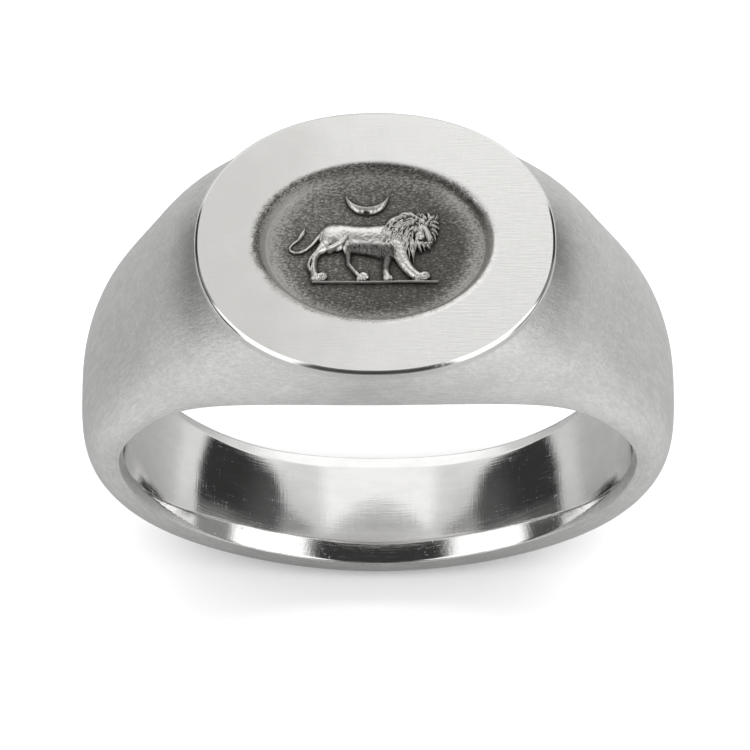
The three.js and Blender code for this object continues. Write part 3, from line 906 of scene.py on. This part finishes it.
class Patina:
    """Oxide in the sunk seal: stippled, rubbed through near the rim, darkest beside the figures, with
    a painted shadow under the upper left edge and a painted sheen that lightens the upper left.
    """

    def __init__(self, n, place):
        x, y, _ = n.axes(place)
        dx = n.minus(x, PATINA_CENTRE[0])
        dy = n.math("DIVIDE", n.minus(y, PATINA_CENTRE[1]), PATINA_ASPECT)
        squares = n.plus(n.times(dx, dx), n.times(dy, dy))
        out = n.math("DIVIDE", n.math("SQRT", squares), PATINA_HALF_LENGTH)
        stipple = n.noise(place, (8, 16, 16), 3, 0.75, 0.3)
        coarse = n.noise(place, 3.2, 3, 0.6)
        streaks = n.noise(place, (1.6, 9, 1), 3, 0.6, 0.7)
        ends = n.ramp(n.math("ABSOLUTE", dx), 1.5, 3.2)
        front = n.ramp(y, -1.2, -2.8, 0.0, 0.7)
        rubbed = n.math("MAXIMUM", ends, front)
        fine = n.noise(place, 30, 2, 0.7)
        fray = n.times(n.minus(fine, 0.5), n.plus(0.02, n.times(rubbed, 0.1)))
        wander = n.times(n.minus(coarse, 0.5), n.times(rubbed, 0.07))
        edge = n.plus(out, n.plus(fray, wander))
        self.cover = n.ramp(edge, 1.03, 0.975)
        hollow = n.attribute("hollow")
        rubbing = n.plus(0.25, n.times(rubbed, 0.75))
        rim = n.times(n.ramp(out, 0.7, 0.95), rubbing)
        # painted shadow: a dark line under the window's edge at the top and the left, fading out
        # towards the right and the front
        upper_left = n.minus(y, n.times(x, 0.3))
        painted_rim_shadow = n.times(n.ramp(out, 0.9, 0.97), n.ramp(upper_left, -1.6, 0.6))
        rim = n.times(rim, n.minus(1.0, painted_rim_shadow))
        specks = n.plus(stipple, n.times(rim, 0.26))
        # painted sheen: lighter towards the upper left and darkest at the lower right, as light falls
        # across the seal
        pale = n.ramp(n.minus(y, x), -3.0, 4.0)
        specks = n.plus(specks, n.times(n.minus(pale, 0.5), 0.1))
        # the patina reads as rubbed through where the specks are high; the painted sheen and the
        # painted shadow shift this too
        self.worn = n.times(n.ramp(specks, 0.48, 0.78), n.minus(1.0, hollow))
        dark = n.mix(n.ramp(stipple, 0.3, 0.7), (0.065, 0.061, 0.055), (0.18, 0.17, 0.157))
        dark = n.mix(n.ramp(streaks, 0.35, 0.7, 0.0, 0.5), dark, (0.1, 0.093, 0.085))
        # painted sheen lightens the patina's colour towards the upper left
        dark = n.mix(n.times(pale, 0.18), dark, (0.38, 0.365, 0.34))
        # painted shadow under the upper left edge of the window
        dark = n.mix(n.times(painted_rim_shadow, 0.6), dark, (0.06, 0.055, 0.05))
        dark = n.mix(n.times(rim, 0.35), dark, (0.5, 0.485, 0.46))
        dark = n.mix(n.times(hollow, 0.85), dark, (0.035, 0.032, 0.028))
        self.colour = n.mix(self.worn, dark, (0.5, 0.485, 0.46))
        self.height = n.plus(n.times(stipple, 1.2), n.times(streaks, 0.3))


# The blasted face scatters some light evenly, which a pure metal would not.
MATTE_METALLIC = 0.935
OXIDE_METALLIC = 0.85


def matte_silver():
    """The face. Its left half is rubbed on coarser paper than the right and is rougher; its colour is
    also darker there, which is painted shade.
    """
    n = Nodes("matte_silver")
    place = n.place()
    patina = Patina(n, place)
    along = n.noise(place, (1.2, 14, 1), 4, 0.6)
    across = n.noise(place, (14, 1.2, 1), 4, 0.6)
    fine = n.noise(place, 12, 3, 0.6)
    cloud = n.noise(place, 0.7, 2, 0.5)
    grain = n.plus(n.plus(along, across), n.times(fine, 0.4))
    colour = n.mix(n.ramp(grain, 0.95, 1.45), (0.96, 0.953, 0.93), (1.0, 0.993, 0.97))
    dullness_and_painted_shade = n.plus(n.axes(place)[0], n.times(n.minus(cloud, 0.5), 6.0))
    # painted shade: the face's colour darker towards the left
    colour = n.mix(n.ramp(dullness_and_painted_shade, 2.5, -6.0), colour, (0.83, 0.822, 0.8))
    height = n.plus(n.times(grain, 0.5), n.times(n.times(patina.height, patina.cover), 1.5))
    rough = n.plus(n.ramp(dullness_and_painted_shade, -6.0, 3.0, 0.4, 0.27), n.times(patina.cover, 0.2))
    metal = n.ramp(patina.cover, 0.0, 1.0, MATTE_METALLIC, OXIDE_METALLIC)
    colour = n.mix(patina.cover, colour, patina.colour)
    return n.metal(colour, metal, rough, n.bump(height, 0.2, 0.03))


def oxidised_silver():
    """The tablet: patina over dull silver."""
    n = Nodes("oxidised_silver")
    patina = Patina(n, n.place())
    colour = n.mix(patina.cover, (0.62, 0.61, 0.59), patina.colour)
    rough = n.ramp(patina.worn, 0.0, 1.0, 0.58, 0.45)
    return n.metal(colour, OXIDE_METALLIC, rough, n.bump(patina.height, 0.5, 0.04))


def relief_silver():
    """The figures: bare silver where the mesh's wear values are high, patina elsewhere; the belly and
    the far legs are kept dark as painted shade.
    """
    n = Nodes("relief_silver")
    fine = n.noise(n.place(), 15, 3, 0.65)
    wear = n.plus(n.attribute("wear"), n.times(n.minus(fine, 0.5), 0.35))
    bare = n.ramp(wear, 0.05, 0.7)
    colour = n.mix(bare, (0.09, 0.083, 0.075), (0.97, 0.955, 0.92))
    rough = n.ramp(bare, 0.0, 1.0, 0.5, 0.38)
    return n.metal(colour, 1.0, rough, n.bump(fine, 0.3, 0.02))


def silver_solder():
    """The solder under the tablet."""
    n = Nodes("silver_solder")
    fine = n.noise(n.place(), 10, 3, 0.6)
    colour = n.mix(n.ramp(fine, 0.3, 0.7), (0.16, 0.15, 0.14), (0.24, 0.23, 0.21))
    return n.metal(colour, 0.8, 0.55, n.bump(fine, 0.3, 0.02))


# ---- The object ----

lion_field = sculpt_lion()
crescent_field = sculpt_crescent()
ground_field = sculpt_ground_line()
relief_look = relief_silver()

filed_look = side_silver()
body = make_ring_body(body_silver())
plate = make_face_plate(matte_silver(), edge_silver(), filed_look)
film = make_joint_film(filed_look)
tablet = make_tablet(oxidised_silver(), lion_field + crescent_field + ground_field)
lion = field_object("lion", lion_field, relief_look)
crescent = field_object("crescent", crescent_field, relief_look)
ground_line = field_object("ground_bar", ground_field, relief_look)

for piece, node, slot in (
    (body, "ring_body", "satin_silver"),
    (plate, "face_plate", "matte_silver"),
    (film, "plate_solder", "silver_solder"),
    (tablet, "seal_tablet", "oxidised_silver"),
    (lion, "lion_relief", "relief_silver"),
    (crescent, "crescent_relief", "relief_silver"),
    (ground_line, "ground_line", "relief_silver"),
):
    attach(piece, "root")
    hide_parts(node)

tablet_film = frame["nodes"]["tablet_solder"].data
tablet_film.materials.clear()
tablet_film.materials.append(silver_solder())

# ---- The stage: floor, light and camera ----

FLOOR_Z = cad_low[2]
FLOOR_HALF = 3
FLOOR_COLOUR = (0.9, 0.9, 0.9)
STAGE_ROUGHNESS = 0.6


def stage_object(name, points, faces, material):
    """A piece of the stage, from points in metres."""
    made = mesh_object(name, points, faces, [material])
    return made


def make_floor():
    """The floor that the camera sees, which the silver doesn't reflect."""
    corners = ((-1, -1), (1, -1), (1, 1), (-1, 1))
    points = [(x * FLOOR_HALF, y * FLOOR_HALF, FLOOR_Z) for x, y in corners]
    pale = Nodes("floor").finish(Base_Color=FLOOR_COLOUR, Roughness=STAGE_ROUGHNESS)
    stage_object("floor", points, [(0, 1, 2, 3)], pale).visible_glossy = False


# The tent's radius, lowest elevation and step in degrees, the reflected floor's points on each
# side of the ring, which are close together near it, and its height over the floor.
DOME_RADIUS = 0.4
DOME_LOW = -16
DOME_STEP = 2
FLOOR_POINTS = 30
FLOOR_LIFT = 0.0001
FLOOR_LIGHT_SIZE = 1.2
FLOOR_LIGHT_PLACE = (0.1, 0.0, 0.88)
FLOOR_LIGHT_POWER = 9.0
WORLD_GLOW = 1.0


def band(value, low, high, soft):
    """1 between low and high, 0 outside, with soft ends."""
    return ease(value, low - soft, low + soft) * (1 - ease(value, high - soft, high + soft))


def studio_glow(azimuth, elevation):
    """Brightness of the tent round the ring. Degrees, the azimuth from +Y towards +X."""
    side = abs(azimuth)
    right = azimuth > 0
    glow = 0.26

    def card(sides, side_soft, heights, height_soft, tone):
        """Hangs a card on both sides of the tent, over the ones before it."""
        nonlocal glow
        share = band(side, *sides, side_soft) * band(elevation, *heights, height_soft)
        glow += (tone - glow) * share

    # the sides, darker near the floor, and the softboxes, which reach the floor in front
    card((66, 92), 3, (-20, 60), 3, 0.2 if right else 0.24)
    card((70, 122), 3, (-20, 19), 4, 0.26 if right else 0.08)
    soft_low = 20 - 34 * ease(side, 114, 126)
    card((93, 151), 2.5, (soft_low, 62), 3, 1.35 if right else 1.25)
    # the white back, dimmer towards its edges
    step = 27 + 1.1 * max(elevation - 42, 0)
    back = 0.98 + 0.14 * (1 - ease(elevation, 22, 36))
    back -= 0.24 * ease(side, step - 3, step + 5) + 0.12 * ease(side, 42, 52)
    card((-9, 56), 2, (-20, 62), 1, back)
    # the two dark flags beside it, and the grey over them
    inner = 47.5 + 10 * ease(elevation, 28, 44)
    card((inner, 70), 2, (40, 66), 3, 0.3)
    card((inner, 69.5), 1.5, (-20, 41), 2, 0.035 + 0.06 * ease(elevation, 16, 38))
    # the grey over the back, the dark card in front, and the dark studio overhead and behind
    # the camera
    card((-9, 60), 8, (62, 77), 1.5, 0.56 - 0.3 * ease(elevation, 63, 76))
    card((154, 190), 2, (8, 50), 3, 0.06)
    dark = band(side, 110, 190, 8) * ease(elevation, 53, 59)
    return glow + (0.04 - glow) * max(ease(elevation, 75, 79), dark)


def floor_tone(x, y):
    """How light the floor looks in the silver, painted into its tone: lighter on both sides in front
    of the ring and on the right behind it, with painted shadow close to the ring and a painted dark
    strip far out for the flags.
    """
    side = math.degrees(math.atan2(abs(x), y))
    away = math.hypot(x, y)
    back = (0.38 + 0.06 * ease(x, -0.01, 0.01)) * (1 - 0.15 * band(side, 63, 82, 3))
    # painted shadow: darker close to the ring
    back *= 1 - 0.15 * (1 - ease(away, 0.013, 0.019))
    # painted shadow of the flags: a dark strip far out at their sides
    back *= 1 - 0.9 * band(side, 48, 67.5, 2) * ease(away, 0.1, 0.13)
    wing = 0.34 + 0.15 * ease(abs(x), 0.004, 0.012)
    # painted shadow: the front wings darker close to the ring
    wing *= 1 - 0.25 * ease(abs(x), 0.01, 0.012) * (1 - ease(away, 0.013, 0.018))
    return back + (wing - back) * ease(-y, 0.0, 0.006)


def value_material(name, socket, strength=0.0):
    """A plain material whose colour or glow is read from the mesh's tone values."""
    n = Nodes(name)
    n.finish(Base_Color=(0, 0, 0), Roughness=STAGE_ROUGHNESS, Specular_IOR_Level=0.0,
             Emission_Strength=strength)
    n.put(n.shader.inputs[socket], n.attribute("tone"))
    return n.material


def make_grid(name, points, columns, tones, material):
    """A grid of quads, with a tone at each point, that only reflections see."""
    rows = len(points) // columns
    starts = [r * columns + c for r in range(rows - 1) for c in range(columns - 1)]
    faces = [(k, k + 1, k + columns + 1, k + columns) for k in starts]
    made = stage_object(name, points, faces, material)
    add_attribute(made, "tone", tones)
    for sight in ("camera", "diffuse", "shadow", "transmission", "volume_scatter"):
        setattr(made, "visible_" + sight, False)


def make_dome():
    """The tent round the ring, which glows by studio_glow."""
    angles = [(a, e) for e in range(DOME_LOW, 91, DOME_STEP) for a in range(-180, 181, DOME_STEP)]
    points = []
    for azimuth, elevation in angles:
        around, up = math.radians(azimuth), math.radians(elevation)
        level = DOME_RADIUS * math.cos(up)
        points.append((level * math.sin(around), level * math.cos(around), DOME_RADIUS * math.sin(up)))
    tones = [studio_glow(a, e) for a, e in angles]
    make_grid("studio_tent", points, 360 // DOME_STEP + 1, tones,
              value_material("studio_tent", "Emission Color", 1.0))


def make_reflected_floor():
    """The floor as the silver sees it."""
    spots = [DOME_RADIUS * (i / FLOOR_POINTS) ** 3 for i in range(-FLOOR_POINTS, FLOOR_POINTS + 1)]
    points = [(x, y, FLOOR_Z + FLOOR_LIFT) for y in spots for x in spots]
    tones = [floor_tone(x, y) for x, y, _ in points]
    make_grid("floor_seen_in_silver", points, len(spots), tones,
              value_material("floor_seen_in_silver", "Base Color"))


def make_stage():
    """The floor, the tent that lights the silver, a light for the floor's shadow, and the world."""
    make_floor()
    make_dome()
    make_reflected_floor()
    world = bpy.data.worlds.new("world")
    world.use_nodes = True
    background = world.node_tree.nodes["Background"].inputs
    background["Color"].default_value = (1, 1, 1, 1)
    background["Strength"].default_value = WORLD_GLOW
    bpy.context.scene.world = world
    data = bpy.data.lights.new("floor_light", "AREA")
    data.size = FLOOR_LIGHT_SIZE
    data.energy = FLOOR_LIGHT_POWER
    light = bpy.data.objects.new("floor_light", data)
    light.location = FLOOR_LIGHT_PLACE
    light.rotation_mode = "QUATERNION"
    light.rotation_quaternion = Vector(FLOOR_LIGHT_PLACE).to_track_quat("Z", "Y")
    light.visible_glossy = False
    bpy.context.scene.collection.objects.link(light)


# The camera looks at CAMERA_AIM, metres right and up from the origin in its own view.
CAMERA_ELEVATION = math.radians(62.24)
CAMERA_DISTANCE = 0.34983
CAMERA_LENS = 442.8
CAMERA_AIM = (-0.0001125, 0.0006993)
RING_LEAN = math.radians(-0.5)


def make_camera():
    """The camera, in front of the ring and above it, turned by the lean that the ring has to it."""
    data = bpy.data.cameras.new("camera")
    data.sensor_width = 36
    data.lens = CAMERA_LENS
    data.clip_start = 0.01
    data.clip_end = 20
    right = Vector((1, 0, 0))
    up = Vector((0, math.sin(CAMERA_ELEVATION), math.cos(CAMERA_ELEVATION)))
    back = right.cross(up)
    place = back * CAMERA_DISTANCE + right * CAMERA_AIM[0] + up * CAMERA_AIM[1]
    made = bpy.data.objects.new("camera", data)
    turned = Matrix((right, up, back)).transposed().to_4x4()
    made.matrix_world = Matrix.Rotation(-RING_LEAN, 4, "Y") @ Matrix.Translation(place) @ turned
    bpy.context.scene.collection.objects.link(made)
    bpy.context.scene.camera = made


make_stage()
make_camera()
bpy.context.scene.view_settings.view_transform = "Standard"
